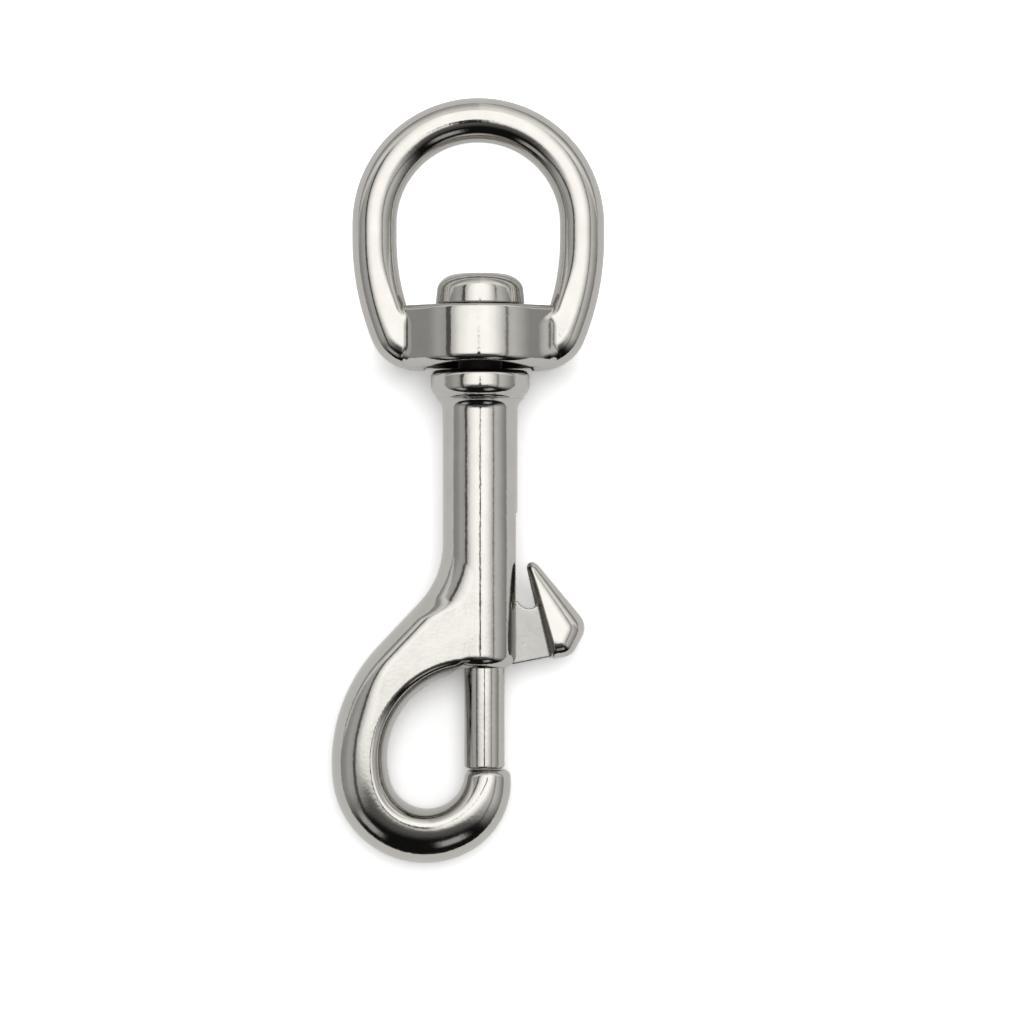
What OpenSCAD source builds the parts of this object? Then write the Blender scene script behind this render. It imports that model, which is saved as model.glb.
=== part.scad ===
// Swivel snap hook, lying flat. +Y is the long axis towards the eye, +X is the
// thumb-knob side, +Z is up. The origin is the centre of the eye loop.

/* [Eye] */
// Radius of the eye loop measured to the middle of its bar
eye_mid_r = 12.2; // [11.8:0.1:13]
// Radius of the round bar of the eye
eye_bar_r = 2.62; // [2.4:0.02:2.66]
// Distance below the loop centre at which the legs start to close in
eye_leg_start = 1.8; // [1:0.1:3]
// Distance below the loop centre of the lower corner centres
eye_corner_y = 11.65; // [11.4:0.05:11.8]
// Half distance between the lower corner centres
eye_corner_x = 7.25; // [7:0.05:7.5]
// Radius of the lower corners to the middle of the bar
eye_corner_r = 3.0; // [2.9:0.05:3.2]
// Distance below the loop centre of the foot's upper face
eye_floor = 9.95; // [9.7:0.05:10.2]

// Fillet between leg and foot inside the eye
floor_fillet = 0.6; // [0.4:0.1:1]

/* [Eye boss] */
// Radius of the curved front and back of the boss
boss_r = 9.4; // [9.2:0.1:10.5]
// Half thickness of the boss
boss_half_t = 6.7; // [6.2:0.1:7]
// Distance below the loop centre of the boss's upper face
boss_top = 9.65; // [9.5:0.05:9.8]
// Height of the boss
boss_h = 6.95; // [6.8:0.05:7.1]
// Rounding of the boss's lower edge
boss_round_low = 1.7; // [1.3:0.1:2]
// Rounding of the boss's upper edge
boss_round_top = 0.5; // [0.3:0.1:0.8]
// Sideways offset of the cast eye from the swivel axis
eye_off = -0.22; // [-0.3:0.02:0]
// Radius of the spot-face under the boss
spot_r = 5.95; // [5.9:0.05:6.2]
// Distance below the loop centre of the spot-face
spot_y = 15.9; // [15.6:0.05:16.2]
// Running clearance between eye bore and rivet shank
swivel_clear = 0.1; // [0.04:0.01:0.1]

/* [Rivet] */
// Radius of the button head
head_r = 5.22; // [4.8:0.02:5.6]
// Height of the button head
head_h = 3.77; // [3:0.01:3.9]
// Rounding of the head's upper edge
head_round = 1.9; // [1:0.1:2]
// Clearance between the head and the boss's upper face
head_clear = 0.15; // [0.05:0.01:0.2]
// Radius of the shank
shank_r = 2.6; // [2.3:0.05:2.8]
// Depth of the shank in the body
shank_in = 6; // [4:0.5:6.5]

/* [Body] */
// Radius of the barrel
barrel_r = 4.39; // [4.3:0.01:4.45]
// Distance below the loop centre of the collar's upper face
collar_y = 17.2; // [17.1:0.05:17.4]
// Height of the collar
collar_h = 3.3; // [2.8:0.1:3.6]
// Radius of the collar
collar_r = 5.82; // [5.5:0.02:5.95]
// Rounding of the collar's upper edge
collar_round = 0.85; // [0.5:0.05:1.2]
// Rounding of the collar's lower edge
collar_round_low = 1.6; // [1:0.1:1.8]
// Fillet between collar and barrel
collar_fillet = 1.0; // [0.8:0.1:1.3]
// Distance below the loop centre of the barrel's lower end
barrel_end = 52.1; // [51.9:0.1:52.4]
// Rounding of the barrel's lower end
barrel_end_round = 1.2; // [0.8:0.1:1.4]

/* [Hook] */
// Radius of the flare from the barrel to the hook
flare_r = 10.1; // [9.5:0.1:10.5]
// Distance below the loop centre at which the flare starts
flare_y = 37.5; // [37:0.1:38]
// Radius of the hook's back
back_r = 19.9; // [19.5:0.1:20.2]
// Centre of the hook's back, sideways from the barrel axis
back_x = 2.45; // [2.2:0.05:2.6]
// Centre of the hook's back, distance below the loop centre
back_y = 63.25; // [63:0.05:63.5]
// Centre of the hook's bend, sideways from the barrel axis
bend_x = -6.49; // [-6.6:0.01:-6.4]
// Centre of the hook's bend, distance below the loop centre
bend_y = 64.16; // [64.1:0.01:64.25]
// Outer radius of the nose side
nose_side_r = 9.3; // [9.1:0.1:9.6]
// Angle along the bend at which the nose side starts
nose_side_a = 300; // [295:1:305]
// Radius of the hook's opening at the bend
open_r = 4.5; // [4.3:0.05:4.6]
// Centre of the opening's bend, sideways from the barrel axis
open_x = -6.25; // [-6.3:0.01:-6.15]
// Centre of the opening's bend, distance below the loop centre
open_y = 64.2; // [64.1:0.05:64.3]
// Centre of the opening's upper arch, sideways from the barrel axis
arch_x = -0.8; // [-0.9:0.05:-0.7]
// Centre of the opening's upper arch, distance below the loop centre
arch_y = 62.75; // [62.6:0.05:62.9]
// Distance below the loop centre of the nose's end face
nose_top = 64.05; // [64.02:0.01:64.15]
// Rounding of the nose's end
nose_round = 0.8; // [0.5:0.1:1]
// Half thickness of the hook next to the barrel
thick_root = 4.3; // [4.2:0.02:4.34]
// Half thickness of the hook's back limb
thick_limb = 4.1; // [3.9:0.05:4.2]
// Half thickness of the hook at the bottom of the bend
thick_bend = 3.7; // [3.4:0.05:3.9]
// Half thickness of the nose
thick_nose = 2.8; // [2.6:0.05:3]
// Width of the outer rounding next to the barrel
out_root = 4.3; // [4:0.1:4.4]
// Width of the outer rounding on the back limb
out_limb = 4.9; // [4.4:0.1:5]
// Width of the inner rounding on the back limb and at the bend
in_limb = 1.85; // [1.5:0.05:2.1]
// Width of the inner rounding at the nose
in_nose = 2.75; // [2.5:0.05:2.8]

/* [Bolt] */
// Radius of the sliding bolt
bolt_r = 2.37; // [2.3:0.01:2.42]
// Bolt axis, sideways from the barrel axis
bolt_x = 0.5; // [0.4:0.02:0.6]
// Running clearance between bolt and bore
bolt_clear = 0.06; // [0.04:0.01:0.1]
// Distance below the loop centre of the bolt's lower end
bolt_end = 63.9; // [63.7:0.05:63.95]
// Chamfer of the bolt's lower end
bolt_chamfer = 0.3; // [0.2:0.05:0.5]
// Distance below the loop centre of the bolt's spring shoulder
bolt_shoulder = 42.5; // [42:0.1:43]
// Length of the spring guide above the shoulder
guide_l = 2.4; // [1.5:0.1:3]
// Radius of the spring guide
guide_r = 1.3; // [1.1:0.05:1.4]
// Distance below the loop centre of the bore's blind end
bore_blind = 25; // [24.5:0.1:25.5]
// Half width of the slot in the barrel
slot_half = 1.15; // [1.1:0.01:1.3]
// Distance below the loop centre of the slot's upper end
slot_top = 34.0; // [33.8:0.1:34.2]

/* [Web and knob] */
// Half thickness of the web
web_half = 1.0; // [0.9:0.02:1.02]
// Distance below the loop centre of the web's upper edge
web_top = 44.3; // [44.2:0.1:44.5]
// Distance below the loop centre of the web's lower edge at the slot
web_low = 51.7; // [51.4:0.1:51.9]
// Rise of the web's lower edge from slot to knob
web_rise = 0.9; // [0.6:0.1:1.1]
// Radius of the finger notch in the web's upper edge
notch_r = 1.35; // [1.2:0.05:1.5]
// Sideways position of the knob's tip
knob_tip_x = 6.15; // [6.1:0.05:6.3]
// Distance below the loop centre of the knob's tip
knob_tip_y = 40.4; // [40.3:0.05:40.6]
// Rounding of the knob's tip in front view
knob_tip_r = 0.7; // [0.65:0.05:0.9]
// Sideways position of the knob's outer corner
knob_out_x = 10.12; // [10:0.02:10.3]
// Distance below the loop centre of the knob's outer corner
knob_out_y = 47.4; // [47.2:0.05:47.6]
// Rounding of the knob's outer corner in front view
knob_out_r = 2.15; // [1.9:0.05:2.3]
// Sideways position of the knob's foot
knob_foot_x = 9.5; // [9.3:0.05:9.7]
// Distance below the loop centre of the knob's foot
knob_foot_y = 48.9; // [48.7:0.05:49.1]
// Rounding of the knob's foot in front view
knob_foot_r = 2.0; // [1.8:0.05:2.1]
// Sideways position of the knob's lower corner
knob_low_x = 8.5; // [8.4:0.05:8.6]
// Distance below the loop centre of the knob's lower corner
knob_low_y = 50.35; // [50.2:0.05:50.4]
// Rounding of the knob's lower corner in front view
knob_low_r = 0.75; // [0.7:0.05:0.9]
// Half width of the knob across at its tip
knob_half_tip = 1.3; // [1.2:0.1:1.7]
// Half width of the knob across at its foot
knob_half_foot = 2.7; // [2.5:0.1:3]
// Bevel round the knob's two flat sides
knob_bevel = 0.6; // [0.4:0.05:0.64]

/* [Spring] */
// Wire radius of the bolt spring
wire_r = 0.25; // [0.2:0.01:0.28]
// Mean radius of the spring's coils
coil_r = 1.95; // [1.8:0.01:2]
// Number of turns of the spring
coil_n = 11; // [9:1:12]

/* [Hidden] */
$fn = 72;

// ---- helpers -------------------------------------------------------------
// turn a profile drawn as (radius, height) about the Y axis, height along +Y
module turn_y() { rotate([-90, 0, 0]) rotate_extrude() children(); }

// lay a plan drawn in X and Y flat, centred on Z = 0
module plan(t) { translate([0, 0, -t]) linear_extrude(height = 2 * t) children(); }

// profile of a disc of radius r between heights 0 and -h with rounded edges
module disc_profile(r, h, top, low) {
    translate([0, -h + low]) square([r, h - top - low]);
    translate([0, -top]) square([r - top, top]);
    translate([0, -h]) square([r - low, low]);
    translate([r - top, -top]) circle(r = top);
    translate([r - low, -h + low]) circle(r = low);
}
module right_half() { intersection() { children(); translate([0, -100]) square([100, 200]); } }

// disc about the Y axis; the profile's height runs along +Y from y
module disc_y(y, r, h, top, low) {
    translate([0, y, 0]) rotate([-90, 0, 0]) rotate_extrude()
        right_half() disc_profile(r, h, top, low);
}

function on(cx, cy, r, a) = [cx + r * cos(a), cy + r * sin(a)];

// ---- eye -----------------------------------------------------------------
leg_r = (pow(eye_mid_r - eye_corner_x, 2) + pow(eye_corner_y - eye_leg_start, 2)
         - pow(eye_corner_r, 2)) / (2 * (eye_mid_r - eye_corner_x - eye_corner_r));
leg_a = asin((eye_corner_y - eye_leg_start) / (leg_r - eye_corner_r));

// stations down the left half: [outer point, inner point, half thickness, outer and inner rounding]
n_eye_top = 13;
n_eye_leg = 6;
n_eye_low = 10;
lc = [-eye_mid_r + leg_r, -eye_leg_start];
cc = [-eye_corner_x, -eye_corner_y];
// angle at which the leg runs into the floor fillet, and the fillet's centre
floor_a = asin((eye_floor - eye_leg_start - floor_fillet) / (leg_r - eye_bar_r - floor_fillet));
ff = on(lc[0], lc[1], leg_r - eye_bar_r - floor_fillet, 180 + floor_a);
eye_left = concat(
    [for (i = [0 : n_eye_top]) let (a = 90 + 90 * i / n_eye_top)
        [on(0, 0, eye_mid_r + eye_bar_r, a), on(0, 0, eye_mid_r - eye_bar_r, a)]],
    [for (i = [0 : n_eye_leg - 1]) let (a = 180 + floor_a * i / n_eye_leg)
        [on(lc[0], lc[1], leg_r + eye_bar_r, a), on(lc[0], lc[1], leg_r - eye_bar_r, a)]],
    [for (i = [0 : n_eye_low]) let (t = i / n_eye_low)
        [t < 0.2 ? on(lc[0], lc[1], leg_r + eye_bar_r, 180 + floor_a + (leg_a - floor_a) * t / 0.2)
                 : on(cc[0], cc[1], eye_corner_r + eye_bar_r, 180 + leg_a + (90 - leg_a) * (t - 0.2) / 0.8),
         t < 0.5 ? on(ff[0], ff[1], floor_fillet, 180 + floor_a + (90 - floor_a) * t / 0.5)
                 : [ff[0] + (cc[0] + 0.5 - ff[0]) * (t - 0.5) / 0.5, -eye_floor]]],
    [[[0, -eye_corner_y - eye_corner_r - eye_bar_r], [0, -eye_floor]]]);
eye_right = [for (i = [len(eye_left) - 2 : -1 : 1]) let (s = eye_left[i])
    [[-s[0][0], s[0][1]], [-s[1][0], s[1][1]]]];
module eye_bar() {
    ring_loop([for (s = concat(eye_left, eye_right)) ring([s[0], s[1], eye_bar_r, eye_bar_r, eye_bar_r - 0.02])]);
}
module boss() {
    off = boss_r - boss_half_t;
    intersection() {
        translate([0, 0, off]) disc_y(-boss_top, boss_r, boss_h, boss_round_top, boss_round_low);
        translate([0, 0, -off]) disc_y(-boss_top, boss_r, boss_h, boss_round_top, boss_round_low);
    }
}
module swivel_eye() {
    $fn = 56;
    color("silver") difference() {
        translate([eye_off, 0, 0]) union() {
            eye_bar();
            boss();
        }
        translate([0, -boss_top + 1, 0]) rotate([90, 0, 0])
            cylinder(r = shank_r + swivel_clear, h = boss_h + 2);
        translate([0, -spot_y, 0]) rotate([90, 0, 0]) cylinder(r = spot_r, h = 2);
    }
}

// ---- rivet ---------------------------------------------------------------
head_under = boss_top - head_clear;
module swivel_rivet() {
    color("lightgray") union() {
        disc_y(-(head_under - head_h), head_r, head_h, head_round, 0.25);
        translate([0, -head_under + 0.5, 0]) rotate([90, 0, 0])
            cylinder(r = shank_r, h = collar_y + shank_in - head_under + 0.5);
    }
}

// ---- body ----------------------------------------------------------------
// centre height of the collar fillet, and where it touches the collar's lower rounding
fil_c = [collar_r - collar_round_low, -collar_y - collar_h + collar_round_low];
fil_y = -fil_c[1] + sqrt(pow(collar_round_low + collar_fillet, 2)
                         - pow(barrel_r + collar_fillet - fil_c[0], 2));
fil_touch = fil_c + ([barrel_r + collar_fillet, -fil_y] - fil_c)
            * collar_round_low / (collar_round_low + collar_fillet);
module collar_barrel() {
    turn_y() right_half() union() {
        translate([0, -collar_y]) disc_profile(collar_r, collar_h, collar_round, collar_round_low);
        // fillet between collar and barrel, tangent to both
        difference() {
            polygon([[0, -fil_y], [barrel_r, -fil_y], fil_touch, [0, fil_touch[1]]]);
            translate([barrel_r + collar_fillet, -fil_y]) circle(r = collar_fillet);
        }
        // barrel with rounded lower end
        translate([0, -barrel_end + barrel_end_round])
            square([barrel_r, barrel_end - barrel_end_round - collar_y - 1]);
        translate([0, -barrel_end]) square([barrel_r - barrel_end_round, 2]);
        translate([barrel_r - barrel_end_round, -barrel_end + barrel_end_round])
            circle(r = barrel_end_round);
    }
}

// outline of the hook: tangent arcs
sink = 0.06;                                   // the loft starts this far under the barrel
fc = [-barrel_r - flare_r + sink, -flare_y];
bc = [back_x, -back_y];
dc = [bend_x, -bend_y];
bend_r = back_r - norm(bc - dc);
fb = bc - fc;
tan_a = atan2(fb[1], fb[0]) + acos((flare_r + back_r) / norm(fb));
bd = dc - bc;
back_end = atan2(bd[1], bd[0]) + 360;
nose_t = on(dc[0], dc[1], bend_r, nose_side_a);
nc = nose_t - nose_side_r * [cos(nose_side_a), sin(nose_side_a)];
arch_r = open_r + norm([arch_x - open_x, arch_y - open_y]);
arch_end = atan2(arch_y - open_y, open_x - arch_x) + (open_x < arch_x ? 360 : 0);
arch_end_n = atan2(-open_y + arch_y, open_x - arch_x);
arch_stop = arch_end_n < 0 ? arch_end_n + 360 : arch_end_n;

n_flare = 8;
n_line = 3;
n_back = 9;
n_bend = 14;
n_nose = 9;
nose_stop = 360 + asin((-nose_top - nose_round - nc[1]) / nose_side_r);
open_stop = 360 + asin((open_y - nose_top - nose_round) / open_r);

// each station: [outer point, inner point, half thickness, outer width, inner width, shrink]
function mixp(a, b, t) = a + (b - a) * t;
arch_0 = 92;
arch_1 = 126;
st_flare = [for (i = [0 : n_flare - 1]) let (t = i / n_flare)
    [on(fc[0], fc[1], flare_r, tan_a * t),
     [2.5 - 2.4 * pow(t, 3), -flare_y - 1 - (barrel_end - flare_y - 1) * pow(t, 0.8)],
     thick_root, out_root, in_limb + 0.1, 1]];
lp0 = on(fc[0], fc[1], flare_r, tan_a);
lp1 = on(bc[0], bc[1], back_r, 180 + tan_a);
st_line = [for (i = [0 : n_line - 1]) let (t = i / n_line)
    [mixp(lp0, lp1, t), on(arch_x, -arch_y, arch_r, arch_0 + (arch_1 - arch_0) * t),
     thick_root, out_root + (out_limb - out_root) * t * 0.5, in_limb, 1]];
st_back = [for (i = [0 : n_back - 1]) let (t = i / n_back)
    [on(bc[0], bc[1], back_r, 180 + tan_a + (back_end - 180 - tan_a) * t),
     on(arch_x, -arch_y, arch_r, arch_1 + (arch_stop - arch_1) * t),
     thick_root + (thick_limb - thick_root) * t,
     out_root + (out_limb - out_root) * (0.5 + 0.5 * t), in_limb, 1]];
st_bend = [for (i = [0 : n_bend - 1]) let (t = i / n_bend, u = (1 - cos(180 * t)) / 2)
    [on(dc[0], dc[1], bend_r, back_end + (nose_side_a - back_end) * t),
     on(open_x, -open_y, open_r, arch_stop + (nose_side_a - arch_stop) * t),
     t < 0.75 ? thick_limb + (thick_bend - thick_limb) * t / 0.75
              : thick_bend + (thick_nose - thick_bend) * (t - 0.75) * 0.9,
     out_limb, in_limb + (in_nose - in_limb) * 0.15 * u, 1]];
th_n = thick_bend + (thick_nose - thick_bend) * 0.225;
st_nose = [for (i = [0 : n_nose]) let (t = i / n_nose)
    [on(nc[0], nc[1], nose_side_r, nose_side_a + (nose_stop - nose_side_a) * t),
     on(open_x, -open_y, open_r, nose_side_a + (open_stop - nose_side_a) * t),
     th_n + (thick_nose - th_n) * t, out_limb,
     in_limb + (in_nose - in_limb) * (0.15 + 0.85 * t), 1]];
stations = concat(st_flare, st_line, st_back, st_bend, st_nose);

n_out = 6;
n_in = 5;
function half_ring(s) = let (
    w = norm(s[1] - s[0]), d = (s[1] - s[0]) / w, l = w - s[4], a = min(s[3], l - 0.12))
    concat(
        [for (k = [1 : n_out]) let (q = 90 * k / n_out)
            [a * (1 - cos(q)), s[2] * sin(q)]],
        [for (k = [0 : n_in - 1]) let (q = 90 * k / n_in)
            [l + s[4] * sin(q), s[2] * cos(q)]]);
function ring(s) = let (
    w = norm(s[1] - s[0]), d = (s[1] - s[0]) / w, h = half_ring(s), m = len(h))
    concat([[s[0][0], s[0][1], 0]],
        [for (p = h) [s[0][0] + d[0] * p[0], s[0][1] + d[1] * p[0], p[1]]],
        [[s[1][0], s[1][1], 0]],
        [for (k = [m - 1 : -1 : 0]) let (p = h[k])
            [s[0][0] + d[0] * p[0], s[0][1] + d[1] * p[0], -p[1]]]);

// tube of rings with both ends closed by a fan
module loft(rings) {
    n = len(rings);
    m = len(rings[0]);
    pts = [for (r = rings) for (p = r) p];
    sides = [for (i = [0 : n - 2]) for (j = [0 : m - 1])
        [i * m + j, i * m + (j + 1) % m, (i + 1) * m + (j + 1) % m, (i + 1) * m + j]];
    polyhedron(points = pts, faces = concat(
        [[for (j = [m - 1 : -1 : 0]) j]], sides, [[for (j = [0 : m - 1]) (n - 1) * m + j]]),
        convexity = 8);
}
// endless tube of rings
module ring_loop(rings) {
    n = len(rings);
    m = len(rings[0]);
    polyhedron(points = [for (r = rings) for (p = r) p], faces = [for (i = [0 : n - 1]) for (j = [0 : m - 1])
        [i * m + j, i * m + (j + 1) % m, ((i + 1) % n) * m + (j + 1) % m, ((i + 1) % n) * m + j]],
        convexity = 8);
}
// last rings, drawn in towards the middle of the section to round the nose's end
nose_c = (stations[len(stations) - 1][0] + stations[len(stations) - 1][1]) / 2;
nose_w = norm(stations[len(stations) - 1][0] - stations[len(stations) - 1][1]) / 2;
n_round = 5;
function nose_ring(k, y) = [for (p = ring(stations[len(stations) - 1]))
    [nose_c[0] + (p[0] - nose_c[0]) * k, y, p[2] * k]];

module hook() {
    loft(concat([for (s = stations) ring(s)],
        [for (i = [1 : n_round]) let (a = 90 * i / n_round)
            nose_ring(1 - nose_round * (1 - cos(a)) / nose_w,
                      -nose_top - nose_round + nose_round * sin(a))]));
}

module bolt_space() {
    translate([bolt_x, -bore_blind, 0]) rotate([90, 0, 0])
        cylinder(r = bolt_r + bolt_clear, h = barrel_end - bore_blind + 3);
    translate([bolt_x, -barrel_end - 1, -slot_half])
        cube([barrel_r + 3, barrel_end + 1 - slot_top, 2 * slot_half]);
}
module snap_body() {
    color("gainsboro") difference() {
        union() {
            collar_barrel();
            hook();
        }
        bolt_space();
        translate([0, -collar_y + 1, 0]) rotate([90, 0, 0]) cylinder(r = shank_r, h = shank_in + 1);
    }
}

// ---- thumb bolt ----------------------------------------------------------
module thumb_bolt() {
    color("darkgray") union() {
        // bolt with chamfered end and spring guide
        translate([bolt_x, 0, 0]) turn_y() union() {
            translate([0, -bolt_end + bolt_chamfer])
                square([bolt_r, bolt_end - bolt_chamfer - bolt_shoulder]);
            polygon([[0, -bolt_end], [bolt_r - bolt_chamfer, -bolt_end],
                     [bolt_r, -bolt_end + bolt_chamfer], [0, -bolt_end + bolt_chamfer]]);
            translate([0, -bolt_shoulder - 1]) square([guide_r, guide_l + 1]);
        }
        web();
        knob();
    }
}
module web() {
    plan(web_half) difference() {
        polygon([[bolt_x, -web_top], [knob_tip_x + 1.4, -web_top],
                 [knob_low_x, -web_low + web_rise], [bolt_x + bolt_r + 1.5, -web_low],
                 [bolt_x, -web_low]]);
        translate([barrel_r + notch_r, -web_top + notch_r * 0.35]) circle(r = notch_r);
    }
}
// one rounded corner of the knob: a disc with bevelled faces
module knob_disc(x, y, r, half) {
    translate([x, -y, 0]) {
        cylinder(r = r, h = 2 * (half - knob_bevel), center = true, $fn = 32);
        cylinder(r = r - knob_bevel, h = 2 * half, center = true, $fn = 32);
    }
}
module knob() {
    hull() {
        knob_disc(knob_tip_x, knob_tip_y, knob_tip_r, knob_half_tip);
        knob_disc(knob_out_x, knob_out_y, knob_out_r, knob_half_foot - 0.3);
        knob_disc(knob_foot_x, knob_foot_y, knob_foot_r, knob_half_foot - 0.1);
        knob_disc(knob_low_x, knob_low_y, knob_low_r, knob_half_foot);
    }
}

// ---- spring --------------------------------------------------------------
module bolt_spring() {
    y0 = -bolt_shoulder + wire_r + 0.02;
    y1 = -bore_blind - wire_r - 0.02;
    steps = 20;
    n = coil_n * steps;
    m = 6;
    // turns 0 to 1 and the last one are closed: half a wire apart each
    rise = y1 - y0;
    closed = 2 * wire_r * 1.05;
    function h(i) = let (t = i / steps)
        t < 1 ? closed * t
        : t > coil_n - 1 ? rise - closed * (coil_n - t)
        : closed + (rise - 2 * closed) * (t - 1) / (coil_n - 2);
    rings = [for (i = [0 : n]) let (a = 360 * i / steps)
        [for (j = [0 : m - 1]) let (b = 360 * j / m, r = coil_r + wire_r * cos(b))
            [bolt_x + r * sin(a), y0 + h(i) + wire_r * sin(b), r * cos(a)]]];
    color("slategray") loft(rings);
}

swivel_eye();
swivel_rivet();
snap_body();
thumb_bolt();
bolt_spring();
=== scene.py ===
"""Swivel snap hook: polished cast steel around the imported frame.

Every piece is drawn as a smooth implicit shape in millimetres (negative inside the steel),
turned into a mesh, and set in place of its CAD node. The rivet and the spring are swept.
Lengths are in millimetres in the part's own frame: +Y runs to the eye, +X is the knob side,
+Z is up, and the eye's centre is the origin. Those marked "per metre" feed shader nodes.
"""

import math

import bpy
import numpy as np
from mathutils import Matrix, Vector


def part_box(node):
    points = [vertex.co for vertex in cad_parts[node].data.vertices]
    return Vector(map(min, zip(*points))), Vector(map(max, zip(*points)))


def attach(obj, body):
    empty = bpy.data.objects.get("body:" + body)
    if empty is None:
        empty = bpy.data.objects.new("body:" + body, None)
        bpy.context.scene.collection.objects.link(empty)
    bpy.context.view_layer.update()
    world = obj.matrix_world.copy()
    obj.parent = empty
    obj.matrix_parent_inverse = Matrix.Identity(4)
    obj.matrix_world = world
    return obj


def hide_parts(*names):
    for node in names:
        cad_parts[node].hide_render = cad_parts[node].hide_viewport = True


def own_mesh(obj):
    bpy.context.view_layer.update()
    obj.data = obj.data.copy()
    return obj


MM = 0.001
FAR = 9.0  # a distance that decides nothing
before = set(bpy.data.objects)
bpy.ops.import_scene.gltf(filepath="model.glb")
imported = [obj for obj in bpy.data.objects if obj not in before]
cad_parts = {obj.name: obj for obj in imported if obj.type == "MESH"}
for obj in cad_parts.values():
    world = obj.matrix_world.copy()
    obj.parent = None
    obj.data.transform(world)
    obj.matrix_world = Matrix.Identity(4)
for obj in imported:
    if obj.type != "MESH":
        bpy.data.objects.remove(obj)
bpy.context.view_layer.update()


def cad(node):
    """Lowest and highest corner of a CAD node in millimetres."""
    low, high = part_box(node)
    return np.array(low) / MM, np.array(high) / MM


EYE_LOW, EYE_HIGH = cad("swivel_eye")
RIVET_LOW, RIVET_HIGH = cad("swivel_rivet")
BODY_LOW, BODY_HIGH = cad("snap_body")
BOLT_LOW, BOLT_HIGH = cad("thumb_bolt")

# ---- driving dimensions ------------------------------------------------------
# eye: a loop of round bar on a boss with two curved faces; the lower corners are discs
BAR_R = 2.62
LOOP_R = EYE_HIGH[1] - BAR_R
EYE_X = (EYE_LOW[0] + EYE_HIGH[0]) / 2
LEG_START = -1.8
CORNER = (-7.25, -11.65)
CORNER_R = 3.0
FLOOR_Y = -9.95
FLOOR_FILLET = 0.6
# the boss is round in front up to BOSS_FLANK degrees off the middle, and flat beyond
BOSS_R, BOSS_FLANK, BOSS_WIDE = 9.4, 40.5, 9.0
BOSS_HALF = EYE_HIGH[2]
BOSS_TOP, BOSS_LOW = -9.65, -16.85
BOSS_EDGES = (0.6, 0.5, 1.5)  # roundings at its sides, top and bottom
# the eye's bar thins on its inner side from THIN_Y on down
INNER_TRIM, THIN, THIN_Y = 0.02, 1.1, (3, 10)
# the recess in the boss's underside arches up in front and is closed behind
RECESS_TOP, RECESS_RISE, RECESS_WIDE, RECESS_BACK = -16.22, 0.75, 6.25, -3.0
# fillets between the boss's flanks and the foot's corners, left and right, and how far from
# the foot's upper and lower faces they fade in
FLANK_FILLET, FILLET_FADE = (0.45, 1.0), (0.2, 2.2)
BORE_R = 2.7
SPOT_R, SPOT_Y = 5.0, -15.9

# rivet
HEAD_R = RIVET_HIGH[0]
HEAD_TOP = RIVET_HIGH[1]
HEAD_UNDER = -9.5
HEAD_RISE, HEAD_RUN, HEAD_TAPER, HEAD_DOME = 2.0, 2.7, 0.12, 0.12
HEAD_FOOT = 0.25
SHANK_R, SHANK_CHAMFER = 2.6, 0.1

# body: collar, barrel and hook
BARREL_R = 4.39
BARREL_END, END_ROUND = -52.1, 1.55
COLLAR_TOP = BODY_HIGH[1]
COLLAR_H = 3.3
COLLAR_R = BODY_HIGH[0]
COLLAR_EDGES = (0.85, 1.6)  # roundings at its top and bottom
NECK_Y, NECK_R = -21.85, 1.55
RIVET_HOLE = 6.0  # depth below the collar's top
# the hook's outline: flare, back, bend and nose outside, and arch and opening inside
FLARE_R = 10.1
FLARE_C = np.array([-BARREL_R - FLARE_R, -37.5])
BACK_R = 19.9
BACK_C = np.array([2.45, -63.25])
BEND_C = np.array([-6.49, -64.16])
BEND_R = BACK_R - np.hypot(*(BACK_C - BEND_C))
NOSE_R = 9.3
NOSE_ANGLE = 300.0
OPEN_R = 4.5
OPEN_C = np.array([-6.25, -64.2])
ARCH_C = np.array([-0.8, -62.75])
ARCH_R = OPEN_R + np.hypot(*(ARCH_C - OPEN_C))
NOSE_TOP, NOSE_EDGE = -64.05, 0.8
# the hook's section: how much its half thickness falls off, how the body's casting leans back
# beside the barrel, and the widths over which it rounds off outwards and inwards. Pairs are
# degrees of way round the opening, 0 at the barrel and 250 at the nose
WAY_C, WAY_NONE = (-4.5, -62.0), 300
SINK, SINK_WAY, SINK_BLEND = 0.29, (60, 125), 0.15
LEAN, LEAN_SPAN = 0.45, 20.0
THINNER = ((0.45, (95, 190)), (0.85, (165, 255)))
OUTER_MORE, OUTER_WAY = 0.5, (25, 110)
INNER_WIDE, INNER_MORE = 1.85, ((0.15, (104, 200)), (0.75, (185, 250)))
# the flare is boxier than the barrel above it and the bend below, between these heights
BOXY, BOXY_TOP, BOXY_LOW = 0.4, (43.8, 46.3), (-59, -51)
# the root of the hook at the barrel's end: where its cut rises and its rounding fades out
ROOT_X, ROOT_RISE, ROOT_RISE_X, ROOT_EDGE_X = -4.4, 1.2, (1.8, 4.4), (-4.4, -1)

# bolt, web, knob and spring
BOLT_X = 0.5
BOLT_R = 2.37
BOLT_END = BOLT_LOW[1]
SHOULDER = -42.5
GUIDE_R, GUIDE_L = 1.3, 2.4
BORE_BLIND = -25.0
BOLT_GAP = 0.06
SLOT_HALF, SLOT_TOP = 1.15, -34.0
# the web's lower edge rises outwards over WEB_RISE_X, and a round notch parts it from the knob
WEB_HALF, WEB_TOP, WEB_LOW, WEB_END = 1.0, -44.3, -51.7, 8.6
WEB_RISE, WEB_RISE_X = 0.9, (4, 8.5)
NOTCH_R, NOTCH_UP = 1.35, 0.47
# the knob's outline: discs at its tip, outer corner, foot and lower corner, clockwise
KNOB = [((6.15, -40.4), 0.7), ((10.12, -47.4), 2.15), ((9.5, -48.9), 2.0), ((8.5, -50.35), 0.75)]
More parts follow.
